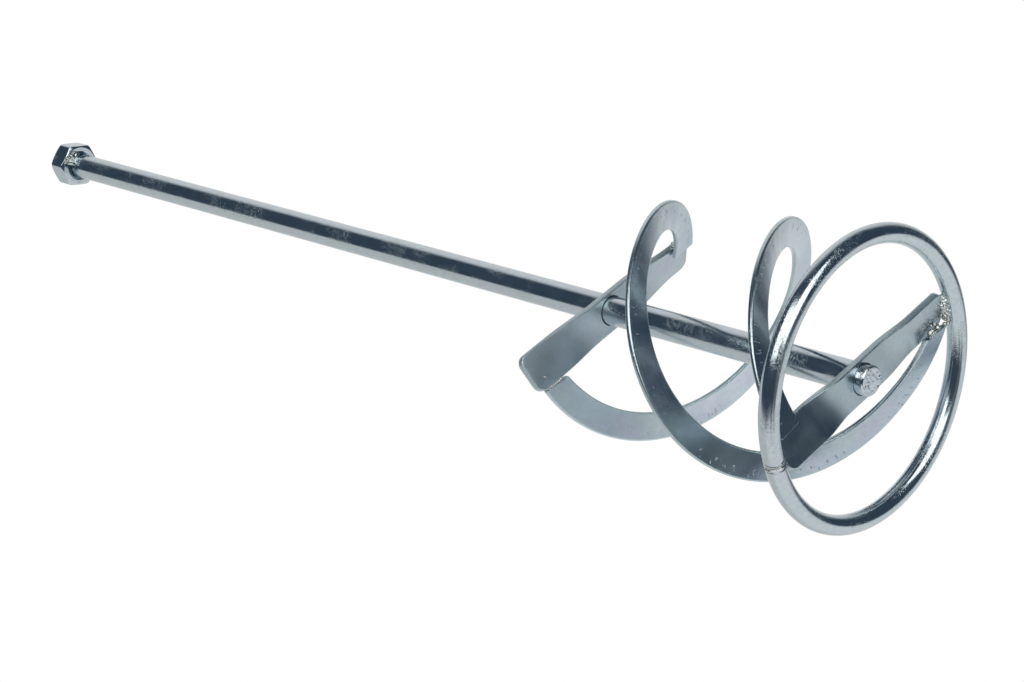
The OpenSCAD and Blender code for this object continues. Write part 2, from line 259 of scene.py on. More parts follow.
# Blade B's rear gets 1.24 times its colour as painted light, standing in for brighter reflections
# there.
BLADE_B_ZINC = Steel("zinc_plate_blade_b", (0.60, 0.70, 0.76), (0.64, 0.675, 0.765),
                     (0.63, 0.735, 0.745), 0.17, 0.25, grain=0.000014, dents=0.00002,
                     sparkle=0.5, nicked=True, dull_rear=2.2, rear_painted_light=1.24)
WELD = Steel("weld_bead", (0.66, 0.69, 0.67), (0.66, 0.65, 0.58), (0.76, 0.79, 0.80),
             0.10, 0.28, grain=0.000016, dents=0.00005, sparkle=0.5)

# Heights in metres between which the rear's roughness factor and its painted light come in.
REAR_FROM, REAR_FULL = 0.04, 0.12

# What a tool nick does: its dark tint and the share of it, added roughness, and cut in metres.
NICK_TINT = (0.25, 0.28, 0.34, 1)
NICK_SHARE, NICK_ROUGH, NICK_CUT = 0.22, 0.2, 0.00018


class Nodes:
    """Short hands for one node tree."""

    def __init__(self, tree: bpy.types.NodeTree) -> None:
        """Keeps the tree."""
        self.tree = tree

    def add(self, kind: str, **settings: object) -> bpy.types.Node:
        """Adds a node of a kind and sets its properties."""
        node = self.tree.nodes.new(kind)
        for key, value in settings.items():
            setattr(node, key, value)
        return node

    def feed(self, node: bpy.types.Node, name: str | int, value: object) -> None:
        """Sets an input to a value, or links it to an output socket."""
        if isinstance(value, bpy.types.NodeSocket):
            self.tree.links.new(value, node.inputs[name])
        else:
            node.inputs[name].default_value = value

    def maths(self, kind: str, a: object, b: object = 0.0) -> bpy.types.NodeSocket:
        """Output of a Math node on two values."""
        node = self.add("ShaderNodeMath", operation=kind)
        self.feed(node, 0, a)
        self.feed(node, 1, b)
        return node.outputs[0]

    def noise(self, vector: object, scale: float, detail: float = 2.0, rough: float = 0.5
              ) -> bpy.types.NodeSocket:
        """Value of a noise texture on a vector."""
        node = self.add("ShaderNodeTexNoise")
        self.feed(node, "Vector", vector)
        self.feed(node, "Scale", scale)
        self.feed(node, "Detail", detail)
        self.feed(node, "Roughness", rough)
        return node.outputs["Fac"]

    def ramp(self, value: object, low: float, high: float, to_low: float = 0.0,
             to_high: float = 1.0) -> bpy.types.NodeSocket:
        """A value's smooth rise from to_low at low to to_high at high."""
        node = self.add("ShaderNodeMapRange", interpolation_type="SMOOTHSTEP")
        for name, number in zip(("Value", "From Min", "From Max", "To Min", "To Max"),
                                (value, low, high, to_low, to_high)):
            self.feed(node, name, number)
        return node.outputs["Result"]

    def mix(self, share: object, a: object, b: object) -> bpy.types.NodeSocket:
        """Colour a turned into colour b by a share."""
        node = self.add("ShaderNodeMix", data_type="RGBA")
        self.feed(node, 0, share)
        self.feed(node, 6, a)
        self.feed(node, 7, b)
        return node.outputs[2]


def new_group(name: str, inputs: tuple[tuple[str, str], ...], outputs: tuple[tuple[str, str], ...]
              ) -> tuple[bpy.types.NodeTree, Nodes, bpy.types.Node, bpy.types.Node]:
    """An empty shader node group with named sockets, and its input and output nodes."""
    tree = bpy.data.node_groups.new(name, "ShaderNodeTree")
    for where, sockets in (("INPUT", inputs), ("OUTPUT", outputs)):
        for label, kind in sockets:
            tree.interface.new_socket(name=label, in_out=where, socket_type=kind)
    nodes = Nodes(tree)
    return tree, nodes, nodes.add("NodeGroupInput"), nodes.add("NodeGroupOutput")


def plating_group() -> bpy.types.NodeTree:
    """Plating colour, roughness and surface height, the same recipe for every finish.

    Colour is a body tone turned towards a warm tone in wide patches and towards a cool tone in
    others and along a strip's rims, then dimmed a little by fine clouds. Grain is fine noise plus
    bright specks that come in patches, and is up to five times as high at a rim. Dents are
    shallow noise.
    """
    tree, n, take, give = new_group(
        "plating",
        (("Vector", "NodeSocketVector"), ("Body", "NodeSocketColor"),
         ("Warm", "NodeSocketColor"), ("Cool", "NodeSocketColor"),
         ("Low", "NodeSocketFloat"), ("High", "NodeSocketFloat"),
         ("Edge", "NodeSocketFloat"), ("Sparkle", "NodeSocketFloat")),
        (("Color", "NodeSocketColor"), ("Roughness", "NodeSocketFloat"),
         ("Grain", "NodeSocketFloat"), ("Dents", "NodeSocketFloat")),
    )
    at = take.outputs["Vector"]
    warm = n.ramp(n.noise(at, 40.0, 1.0), 0.35, 0.75)
    cool = n.ramp(n.noise(at, 60.0, 1.0), 0.38, 0.78)
    tone = n.mix(n.maths("MULTIPLY", warm, n.maths("SUBTRACT", 1.0, take.outputs["Edge"])),
                 take.outputs["Body"], take.outputs["Warm"])
    cool = n.maths("MAXIMUM", cool, n.maths("MULTIPLY", take.outputs["Edge"], 0.7))
    tone = n.mix(cool, tone, take.outputs["Cool"])
    cloud = n.ramp(n.noise(at, 420.0, 3.0, 0.6), 0.3, 0.7, 0.93, 1.0)
    scaled = n.add("ShaderNodeVectorMath", operation="SCALE")
    n.feed(scaled, 0, tone)
    n.feed(scaled, "Scale", cloud)
    rough = n.ramp(n.noise(at, 110.0, 1.0), 0.2, 0.8, take.outputs["Low"], take.outputs["High"])
    n.feed(give, "Color", scaled.outputs[0])
    n.feed(give, "Roughness", rough)
    sparkle = n.maths("MULTIPLY", n.ramp(n.noise(at, 2200.0, 0.5, 0.5), 0.54, 0.74),
                      n.ramp(n.noise(at, 60.0, 2.0), 0.40, 0.62))
    grain = n.maths("ADD", n.maths("MULTIPLY", n.noise(at, 1700.0, 1.0), 0.6),
                    n.maths("MULTIPLY", sparkle, take.outputs["Sparkle"]))
    rim = n.maths("ADD", 1.0, n.maths("MULTIPLY", take.outputs["Edge"], 4.0))
    n.feed(give, "Grain", n.maths("MULTIPLY", grain, rim))
    n.feed(give, "Dents", n.noise(at, 240.0, 2.0, 0.5))
    return tree


def nick_group() -> bpy.types.NodeTree:
    """Mask of short tool nicks in a band near a strip's outer edge.

    Stretched noise over the distance along and across the strip is cut at a high level, so that
    only thin dashes stay, and held to a band across the strip and to patches along it.
    """
    tree, n, take, give = new_group(
        "tool_nicks",
        (("Along", "NodeSocketFloat"), ("Across", "NodeSocketFloat")),
        (("Mask", "NodeSocketFloat"),),
    )
    place = n.add("ShaderNodeCombineXYZ")
    n.feed(place, "X", n.maths("MULTIPLY", take.outputs["Along"], 1.05))
    n.feed(place, "Y", n.maths("MULTIPLY", take.outputs["Across"], 1.5))
    dash = n.ramp(n.noise(place.outputs[0], 1.0, 1.0, 0.4), 0.63, 0.70)
    band = n.maths("MULTIPLY", n.ramp(take.outputs["Across"], 0.15, 0.35),
                   n.ramp(take.outputs["Across"], 0.70, 0.85, 1.0, 0.0))
    slow = n.add("ShaderNodeCombineXYZ")
    n.feed(slow, "X", n.maths("MULTIPLY", take.outputs["Along"], 0.045))
    patch = n.ramp(n.noise(slow.outputs[0], 1.0, 0.0), 0.42, 0.55)
    n.feed(give, "Mask", n.maths("MULTIPLY", n.maths("MULTIPLY", dash, band), patch))
    return tree


def steel(kind: Steel) -> bpy.types.Material:
    """Material of one finish: plating colour and roughness, grain and dents as bumps.

    Roughness and colour are multiplied by the finish's rear values, which come in with height; the
    colour factor is painted light, standing in for brighter reflections on the rear.
    Tool nicks darken and roughen the plating and cut into it.

    Args:
        kind: The finish.

    Returns:
        The material.
    """
    material = bpy.data.materials.new(kind.name)
    material.use_nodes = True
    n = Nodes(material.node_tree)
    shader = material.node_tree.nodes["Principled BSDF"]
    shader.inputs["Metallic"].default_value = 1.0
    where = n.add("ShaderNodeTexCoord").outputs["Object"]
    across = n.add("ShaderNodeAttribute", attribute_name="across").outputs["Fac"]
    along = n.add("ShaderNodeAttribute", attribute_name="along").outputs["Fac"]
    edge = n.ramp(n.maths("ABSOLUTE", across), 0.6, 1.0)
    plate = n.add("ShaderNodeGroup", node_tree=bpy.data.node_groups["plating"])
    for name, value in (("Vector", where), ("Body", (*kind.body, 1)), ("Warm", (*kind.warm, 1)),
                        ("Cool", (*kind.cool, 1)), ("Low", kind.rough_low),
                        ("High", kind.rough_high), ("Edge", edge),
                        ("Sparkle", kind.sparkle)):
        n.feed(plate, name, value)
    parts = n.add("ShaderNodeSeparateXYZ")
    n.feed(parts, 0, where)
    height = parts.outputs["Z"]
    rough = n.maths("MULTIPLY", plate.outputs["Roughness"],
                    n.ramp(height, REAR_FROM, REAR_FULL, 1.0, kind.dull_rear))
    # Painted light: colour scaled up on the rear part, standing in for brighter reflections there.
    painted_rear_light_scale = n.add("ShaderNodeVectorMath", operation="SCALE")
    n.feed(painted_rear_light_scale, 0, plate.outputs["Color"])
    n.feed(painted_rear_light_scale, "Scale", n.ramp(height, REAR_FROM, REAR_FULL, 1.0, kind.rear_painted_light))
    colour = painted_rear_light_scale.outputs[0]
    dents = n.add("ShaderNodeBump")
    n.feed(dents, "Distance", kind.dents)
    n.feed(dents, "Height", plate.outputs["Dents"])
    grain = n.add("ShaderNodeBump")
    n.feed(grain, "Distance", kind.grain)
    n.feed(grain, "Height", plate.outputs["Grain"])
    n.feed(grain, "Normal", dents.outputs["Normal"])
    normal = grain.outputs["Normal"]
    if kind.nicked:
        marks = n.add("ShaderNodeGroup", node_tree=bpy.data.node_groups["tool_nicks"])
        n.feed(marks, "Along", along)
        n.feed(marks, "Across", across)
        mask = marks.outputs["Mask"]
        colour = n.mix(n.maths("MULTIPLY", mask, NICK_SHARE), colour, NICK_TINT)
        rough = n.maths("ADD", rough, n.maths("MULTIPLY", mask, NICK_ROUGH))
        cut = n.add("ShaderNodeBump", invert=True)
        n.feed(cut, "Distance", NICK_CUT)
        n.feed(cut, "Height", mask)
        n.feed(cut, "Normal", normal)
        normal = cut.outputs["Normal"]
    n.feed(shader, "Base Color", colour)
    n.feed(shader, "Roughness", rough)
    n.feed(shader, "Normal", normal)
    return material


# ---------------------------------------------------------------- paddle


@dataclass
class Shaft:
    """Round shaft with bevelled ends; the lower end is sheared and rough."""

    radius: float = 6.0
    tip_z: float = 1.5
    top_z: float = 516.0
    bevel: float = 0.6

    def build(self, material: bpy.types.Material) -> None:
        """A profile (radius, z) turned about the axis, with a rough disc at the tip.

        The shaft's side wavers by a few hundredths of a millimetre, as drawn bar does.
        """
        skin = Skin("shaft_bar", Slot.ZINC)
        a = np.linspace(0, 2 * np.pi, 160, endpoint=False)
        b = np.linspace(0, 1, 7)
        tip = [(self.radius - self.bevel * (1 - s), self.tip_z + self.bevel * s ** 1.3)
               for s in b]
        top = [(self.radius - self.bevel * s, self.top_z - self.bevel * (1 - s)) for s in b]
        body = np.concatenate([[0.02, 0.06], np.linspace(0.1, 0.9, 700), [0.94, 0.98]])
        low, high = tip[-1][1], top[0][1]
        profile = np.array(tip + [(self.radius, low + (high - low) * t) for t in body] + top)
        r = profile[:, :1] + 0 * a
        z = profile[:, 1:] + 0 * a
        grid = np.stack([r * np.cos(a), r * np.sin(a), z], -1)
        drop = lumps(grid, 9.0, 3) * 0.012 * (profile[:, :1] >= self.radius - 1e-6)
        grid[..., :2] *= (1 - np.abs(drop) / self.radius)[..., None]
        skin.add(grid, along=z, close_v=True)
        shares = tuple(np.linspace(0.96, 0, 20))

        def rough(p: Array) -> Array:
            """Raises a sheared face: shallow lumps with a few pits, never below the tip."""
            q = p.copy()
            pits = ease((lumps(p, 1.1, 12) - 1.0) / 0.7) * 0.22
            q[..., 2] = self.tip_z + np.abs(lumps(p, 2.2, 11)) * 0.07 + pits
            q[..., 2] += np.abs(lumps(p, 0.7, 13)) * 0.03
            return q

        skin.cap(grid[0], np.array([0, 0, self.tip_z]), shares, rough)
        skin.cap(grid[-1], np.array([0, 0, self.top_z]))
        skin.build(material, ("shaft",))


@dataclass
class DriveNut:
    """Hexagon nut with bevelled faces and an M14 thread in its bore."""

    z: float = 513.0
    height: float = 10.0
    flats: float = 20.0
    turn: float = 23.0
    seat_r: float = 6.05
    seat_depth: float = 3.0
    thread_r: float = 6.35
    pitch: float = 2.0
    mouth: float = 1.2
    thread_depth: float = 1.0
    corner_cut: float = 0.35
    face_inset: float = 0.3
    sharp: float = 14.0

    def build(self, material: bpy.types.Material) -> None:
        """Radius over angle and height: outside, the lesser of the hexagon and the bevel cone;
        inside, the seat, then a helix whose radius swings by the thread's depth."""
        skin = Skin("drive_nut_body", Slot.ZINC)
        a = np.linspace(0, 2 * np.pi, 480, endpoint=False)
        sector = (a - math.radians(self.turn) + np.pi / 6) % (np.pi / 3) - np.pi / 6
        corner_r = self.flats / 2 / math.cos(math.pi / 6)
        hexagon = self.flats / 2 / np.cos(np.abs(sector) - np.pi / 6)
        hexagon = lesser(hexagon, corner_r - self.corner_cut, self.sharp)
        face_r = self.flats / 2 - self.face_inset
        rise = (corner_r - face_r) * math.tan(math.pi / 6)
        z = np.concatenate([np.linspace(0, rise, 12),
                            np.linspace(rise, self.height - rise, 12)[1:-1],
                            np.linspace(self.height - rise, self.height, 12)])
        depth = np.minimum(z, self.height - z)[:, None]
        cone = face_r + depth / math.tan(math.pi / 6)
        r = lesser(hexagon + 0 * cone, cone, self.sharp)
        outside = np.stack([r * np.cos(a), r * np.sin(a), self.z + z[:, None] + 0 * a], -1)
        inner_z = np.linspace(self.height, 0, 181)
        fall = inner_z[:, None]
        phase = (fall / self.pitch - a / (2 * np.pi)) % 1
        ridge = np.abs(phase * 2 - 1)
        crest = self.thread_r - self.thread_depth / 2
        thread = crest + np.clip(ridge * 1.5 - 0.25, 0, 1) * self.thread_depth
        fade = ease((fall - self.seat_depth) / 0.5)
        bore = self.seat_r + (thread - self.seat_r) * fade
        top_cone = self.thread_r + self.mouth - (self.height - fall)
        low_cone = self.seat_r + self.mouth - fall
        bore = np.maximum(bore, np.maximum(top_cone, low_cone))
        bore = np.minimum(bore, face_r - 0.4)
        inside = np.stack([bore * np.cos(a), bore * np.sin(a), self.z + fall + 0 * a], -1)
        t = np.linspace(0, 1, 6)[1:-1, None, None]
        over = outside[-1] * (1 - t) + inside[0] * t
        under = inside[-1] * (1 - t) + outside[0] * t
        skin.add(np.concatenate([outside, over, inside, under]), close_u=True, close_v=True)
        skin.build(material, ("drive_nut",))


@dataclass
class GuardRing:
    """Round wire bent to a ring, with its butt joint welded and dressed."""

    mid_r: float = 56.0
    wire_r: float = 4.0
    seam: float = 178.0
    seam_w: float = 0.9
    sink: float = 0.3
    groove_at: float = 1.35
    groove_sway: float = 0.45
    groove_depth: float = 0.30
    groove_w: float = 0.30
    thin: float = 0.012

    def tube(self, angle: Array, radius: Array, around: Array) -> Array:
        """Places on a ring tube.

        They are (R + r cos v) cos u, (R + r cos v) sin u and the wire's radius + r sin v.
        """
        out = self.mid_r + radius * np.cos(around)
        return np.stack([out * np.cos(angle), out * np.sin(angle),
                         self.wire_r + radius * np.sin(around)], -1)

    def close_ends(self, skin: Skin, grid: Array, angle: Array) -> None:
        """Caps both open ends of a tube at the wire's middle."""
        for k in (0, -1):
            mid = self.tube(angle[k], np.zeros(1), np.zeros(1))[0]
            skin.cap(grid[k], mid)

    def build(self, steel_zinc: bpy.types.Material, bead: bpy.types.Material) -> None:
        """Wire from one side of the joint to the other, and the joint's weld.

        Two wandering grooves, where the weld was dressed, run round the wire beside the joint:
        radius falls by depth * exp(-(distance / width)^2). The wire is drawn a hair thin, so
        that its waver stays inside the frame's wire.
        """
        half = math.degrees(self.seam_w / 2 / self.mid_r)
        v = np.linspace(0, 2 * np.pi, 96, endpoint=False)
        near = np.linspace(0, 6, 70)
        u = np.concatenate([half + near, np.linspace(6 + half, 354 - half, 700)[1:-1],
                            360 - half - near[::-1]])
        arc = np.minimum(u, 360 - u) * np.pi / 180 * self.mid_r
        side = np.where(u < 180, 1.0, -1.0)
        angle = np.radians(self.seam + u)[:, None]
        wander = lumps(np.stack([np.cos(v), np.sin(v), 0 * v], -1) * 3, 2.2, 31)
        wander2 = lumps(np.stack([np.cos(v), np.sin(v), 0 * v], -1) * 3, 1.6, 37)
        left = side[:, None] > 0
        where = self.groove_at + self.groove_sway * np.where(left, wander, wander2)
        depth = self.groove_depth * (0.6 + 0.4 * np.where(left, wander2, wander))
        groove = depth * np.exp(-((arc[:, None] - where) / self.groove_w) ** 2)
        radius = self.wire_r - np.clip(groove, 0, 0.4)
        end = arc[:, None] - self.seam_w / 2
        radius = radius - 0.25 * np.exp(-(end / 0.12) ** 2)
        grid = self.tube(angle, radius, v[None])
        waver = self.thin + np.abs(lumps(grid, 8.0, 5)) * 0.010
        grid = self.tube(angle, radius - waver, v[None])
        skin = Skin("guard_ring_wire", Slot.ZINC)
        skin.add(grid, along=arc[:, None] + 0 * v, close_v=True)
        self.close_ends(skin, grid, angle)
        skin.build(steel_zinc, ("guard_ring",))
        skin = Skin("ring_seam_bead", Slot.WELD)
        w = np.linspace(-half, half, 15)
        angle = np.radians(self.seam + w)[:, None]
        crown = 1 - (w / half)[:, None] ** 2
        base = self.wire_r - self.sink + 0.22 * crown
        grid = self.tube(angle, base + 0 * v, v[None])
        bumpy = lumps(grid, 1.1, 41) * 0.07
        grid = self.tube(angle, np.minimum(base + bumpy, self.wire_r), v[None])
        skin.add(grid, close_v=True)
        self.close_ends(skin, grid, angle)
        skin.build(bead, ("ring_seam_weld",))


@dataclass
class BarEnd:
    """One end of a crossbar. side is 1 at +X and -1 at -X."""

    side: int
    length: float
    twist: float


@dataclass
class Crossbar:
    """Flat bar with rounded corners, a hole for the shaft and both ends twisted.

    The bar is turned about the shaft by turn degrees, and its centre line misses the axis by
    shift. Its middle is flat out to flat, and its ends twist over twist_len beyond that.
    """

    name: str
    node: str
    low_face: float
    turn: float
    shift: float
    high: BarEnd
    low: BarEnd
    flat: float
    twist_len: float
    width: float = 16.6
    thick: float = 3.0
    corner: float = 4.0
    hole_r: float = 6.3
    edge: float = 0.5
    lip: float = 0.2

    def mid_z(self) -> float:
        """Height of the bar's middle."""
        return self.low_face + self.thick / 2

    def twist_at(self, end: BarEnd, x: Array | float) -> Array:
        """Twist in radians at distance x from the shaft's axis."""
        return math.radians(end.twist) * ease((np.asarray(x) - self.flat) / self.twist_len)

    def bend(self, plan: Array, height: Array) -> Array:
        """Plan places and heights over the middle, twisted, turned and lifted into place.

        Beyond the flat middle, (y - shift, height) turns about the bar's centre line by the
        twist at |x|, the same way at both ends as seen from each end.
        """
        x, y = plan[..., 0], plan[..., 1]
        side = np.sign(x)
        twist = np.where(x > 0, self.twist_at(self.high, x), self.twist_at(self.low, -x))
        across = (y - self.shift) * side
        c, s = np.cos(twist), np.sin(twist)
        y2 = across * c - height * s
        z2 = across * s + height * c
        y2 = np.where(side == 0, y - self.shift, y2 * side)
        z2 = np.where(side == 0, height, z2)
        return turned(np.stack([x, self.shift + y2, self.mid_z() + z2], -1), self.turn)

    def outline(self, inset: float, share: Array) -> Array:
        """Rounded rectangle in plan, inset by a distance, at shares of its way round."""
        radius = self.corner - inset
        right, left = self.high.length - self.corner, -(self.low.length - self.corner)
        top = self.width / 2 - self.corner
        quarter = np.pi / 2 * self.corner
        runs = [2 * top, quarter, right - left, quarter, 2 * top, quarter, right - left, quarter]
        ends = np.concatenate([[0], np.cumsum(runs)])
        way = share * ends[-1]
        k = np.clip(np.searchsorted(ends, way, side="right") - 1, 0, 7)
        t = (way - ends[k]) / np.array(runs)[k]
        turns = np.pi / 2 * np.select([k == 1, k == 3, k == 5, k == 7], [t, 1 + t, 2 + t, 3 + t])
        corner_x = np.select([k == 1, k == 3, k == 5, k == 7], [right, left, left, right])
        corner_y = np.select([k == 1, k == 3, k == 5, k == 7], [top, top, -top, -top])
        x = corner_x + radius * np.cos(turns)
        y = corner_y + radius * np.sin(turns)
        x = np.select([k == 0, k == 2, k == 4, k == 6],
                      [right + radius + 0 * t, right + (left - right) * t, left - radius + 0 * t,
                       left + (right - left) * t], x)
        y = np.select([k == 0, k == 2, k == 4, k == 6],
                      [-top + 2 * top * t, top + radius + 0 * t, top - 2 * top * t,
                       -top - radius + 0 * t], y)
        return np.stack([x, y + self.shift], -1)

    def build(self, material: bpy.types.Material) -> None:
        """One closed surface: lower face from the hole out, rounded edge, upper face back in,
        and the hole's wall with rounded lips."""
        fine = np.linspace(0, 1, 20001)[:-1]
        polar = np.unwrap(np.arctan2(*self.outline(0.0, fine).T[::-1]))
        even = np.interp(np.linspace(polar[0], polar[0] + 2 * np.pi, 181)[:-1], polar, fine)
        share = np.unique(np.round(np.concatenate([even, np.linspace(0, 1, 501)[:-1]]), 4))
        turn = np.arctan2(*self.outline(0.0, share).T[::-1])
        circle = np.stack([np.cos(turn), np.sin(turn)], -1)
        t = np.concatenate([[0, 0.02], np.linspace(0.05, 0.95, 34), [0.985, 1.0]])[:, None, None]
        inner = circle * (self.hole_r + self.lip)
        face = inner * (1 - t) + self.outline(self.edge, share) * t
        half = self.thick / 2
        b = np.linspace(0, np.pi / 2, 7)[1:]
        rows, heights = [face], [np.full(len(face), -half)]
        for angle in b:
            rows.append(self.outline(self.edge * (1 - math.sin(angle)), share)[None])
            heights.append([-half + self.edge * (1 - math.cos(angle))])
        rows.append(self.outline(0.0, share)[None])
        heights.append([0.0])
        for angle in b[::-1]:
            rows.append(self.outline(self.edge * (1 - math.sin(angle)), share)[None])
            heights.append([half - self.edge * (1 - math.cos(angle))])
        rows.append(face[::-1])
        heights.append(np.full(len(face), half))
        for sign in (1, -1):
            for angle in (b if sign > 0 else b[::-1]):
                r = self.hole_r + self.lip * (1 - math.sin(angle))
                rows.append(circle[None] * r)
                heights.append([sign * (half - self.lip * (1 - math.cos(angle)))])
        plan = np.concatenate(rows)
        height = np.concatenate(heights)[:, None] + 0 * plan[..., 0]
        grid = self.bend(plan, height)
        wave = lumps(grid, 14.0, 7) * 0.03
        grid[..., 2] += wave
        gap = self.width / 2 - np.abs(plan[..., 1] - self.shift)
        reach = np.where(plan[..., 0] > 0, self.high.length, self.low.length)
        gap = np.minimum(gap, reach - np.abs(plan[..., 0]))
        across = 1 - np.clip(gap / (self.width / 2), 0, 1)
        skin = Skin(self.name, Slot.ZINC)
        skin.add(grid, across, plan[..., 0], close_u=True, close_v=True)
        skin.build(material, (self.node,))


@dataclass
class SpiralBlade:
    """Flat strip wound one turn, from the front crossbar's plane to the rear one's.

    outs holds the outer radius at its start, middle and end. It is cut on the lines y0 and y1 of
    the two bars, and low and high are the (angle, height) pairs that its climb runs between.
    """

    name: str
    node: str
    start_turn: float
    outs: tuple[float, float, float]
    y0: float
    y1: float
    low: tuple[float, float]
    high: tuple[float, float]
    rise: float
    front_turn: float
    rear_turn: float
    width: float = 12.0
    thick: float = 2.2
    edge: float = 0.75
    seed: int = 50

    @staticmethod
    def bow(ends: tuple[float, float, float], t: Array) -> Array:
        """Quadratic through three values at t = 0, 0.5 and 1."""
        a, b, c = ends
        q = 2 * t - 1
        return b + (c - a) / 2 * q + ((a + c) / 2 - b) * q * q

    def place(self, t: Array, across: Array, lift: Array) -> Array:
        """Places on the strip: angle runs evenly between its two cut planes at each radius, and
        height climbs with the turned angle, with a bow in the middle."""
        outer = self.bow(self.outs, t)
        r = outer - self.width / 2 + across
        start = self.front_turn + np.degrees(np.arcsin(self.y0 / r))
        stop = 360 + self.rear_turn + np.degrees(np.arcsin(self.y1 / r))
        angle = start * (1 - t) + stop * t
        climb = (self.high[1] - self.low[1]) / (self.high[0] - self.low[0])
        slope = climb * 180 / np.pi / r
        z = self.low[1] + climb * (angle - self.low[0]) + self.bow((0, self.rise, 0), t)
        z = z + lift * np.sqrt(1 + slope * slope)
        a = np.radians(angle)
        return turned(np.stack([r * np.cos(a), r * np.sin(a), z], -1), self.start_turn)

    def build(self, material: bpy.types.Material) -> None:
        """The strip's rounded section carried along its run, with both cut ends closed.

        The last rows are a little smaller, for a soft cut edge.
        """
        section = rounded_section(self.width, self.thick, self.edge)
        t = np.concatenate([[0, 0.0004, 0.0012], np.linspace(0.003, 0.997, 640),
                            [0.9988, 0.9996, 1]])[:, None]
        trim = np.ones_like(t)
        trim[0] = trim[-1] = 0.97
        trim[1] = trim[-2] = 0.992
        across = section[:, 0] * trim
        lift = section[:, 1] * trim
        grid = self.place(t + 0 * across, across, lift)
        waver = lumps(grid, 16.0, self.seed) * 0.06 + lumps(grid, 4.0, self.seed + 1) * 0.012
        grid[..., 2] += waver
        length = 2 * np.pi * self.outs[1]
        skin = Skin(self.name, Slot.ZINC)
        share = across / (self.width / 2)
        skin.add(grid, share, t * length + 0 * across, close_v=True)
        for k in (0, -1):
            middle = grid[k].mean(axis=0)
            skin.cap(grid[k], middle, across=0.95)
        skin.build(material, (self.node,))


def spatter(skin: Skin, drop: tuple[float, float, float, float], seed: int) -> None:
    """Adds a ball of spatter to a skin, as its centre and radius in millimetres.

    Centre + radius * (cos e cos a, cos e sin a, sin e), with noise on the radius.
    """
    *middle, radius = drop
    e = np.linspace(-np.pi / 2, np.pi / 2, 17)[:, None]
    a = np.linspace(0, 2 * np.pi, 24, endpoint=False)
    ball = np.stack([np.cos(e) * np.cos(a), np.cos(e) * np.sin(a), np.sin(e) + 0 * a], -1)
    bumpy = 1 + 0.12 * lumps(ball, 1.2, seed)
    skin.add(np.array(middle) + ball * (radius * bumpy)[..., None], close_v=True)


@dataclass
class Bead:
    """Lumpy weld bead along a path, thicker in its middle and closed at both ends."""

    name: str
    node: str
    path: Array
    radius: float
    squash: tuple[float, float, float] = (1.0, 1.0, 1.0)
    rough: float = 0.22
    lump: float = 2.2
    ripple: float = 0.06
    seed: int = 70
    drops: tuple[tuple[float, float, float, float], ...] = ()

    def build(self, material: bpy.types.Material) -> None:
        """Circles carried along the path: radius * sqrt(1 - s^6) at share s from the middle, with
        noise and small ripples across the bead."""
        n = 120
        way = np.concatenate([[0], np.cumsum(np.linalg.norm(np.diff(self.path, axis=0), axis=1))])
        s = np.linspace(0, 1, n)
        mid = np.stack([np.interp(s * way[-1], way, self.path[:, k]) for k in range(3)], -1)
        ahead = np.gradient(mid, axis=0)
        ahead /= np.linalg.norm(ahead, axis=1)[:, None]
        up = np.array([0.0, 0.0, 1.0])
        side = np.cross(ahead, up)
        side /= np.linalg.norm(side, axis=1)[:, None]
        top = np.cross(side, ahead)
        v = np.linspace(0, 2 * np.pi, 72, endpoint=False)
        swell = np.sqrt(np.clip(1 - (2 * s - 1) ** 6, 0, 1))
        swell = (self.radius * swell)[:, None] + 0 * v
        ring = np.cos(v)[None, :, None] * side[:, None] + np.sin(v)[None, :, None] * top[:, None]
        grid = mid[:, None] + ring * swell[..., None]
        factor = 1 + self.rough * lumps(grid, self.lump, self.seed)
        factor += self.rough * 0.35 * lumps(grid, self.lump * 0.35, self.seed + 1)
        factor += self.ripple * np.sin(s * way[-1] * 2 * np.pi / 1.1)[:, None]
        offset = ring * (swell * factor)[..., None] * np.array(self.squash)
        grid = mid[:, None] + offset
        skin = Skin(self.name, Slot.WELD)
        skin.add(grid, close_v=True)
        for k in (0, -1):
            skin.cap(grid[k], mid[k])
        for drop in self.drops:
            spatter(skin, drop, self.seed + 2)
        skin.build(material, (self.node,))


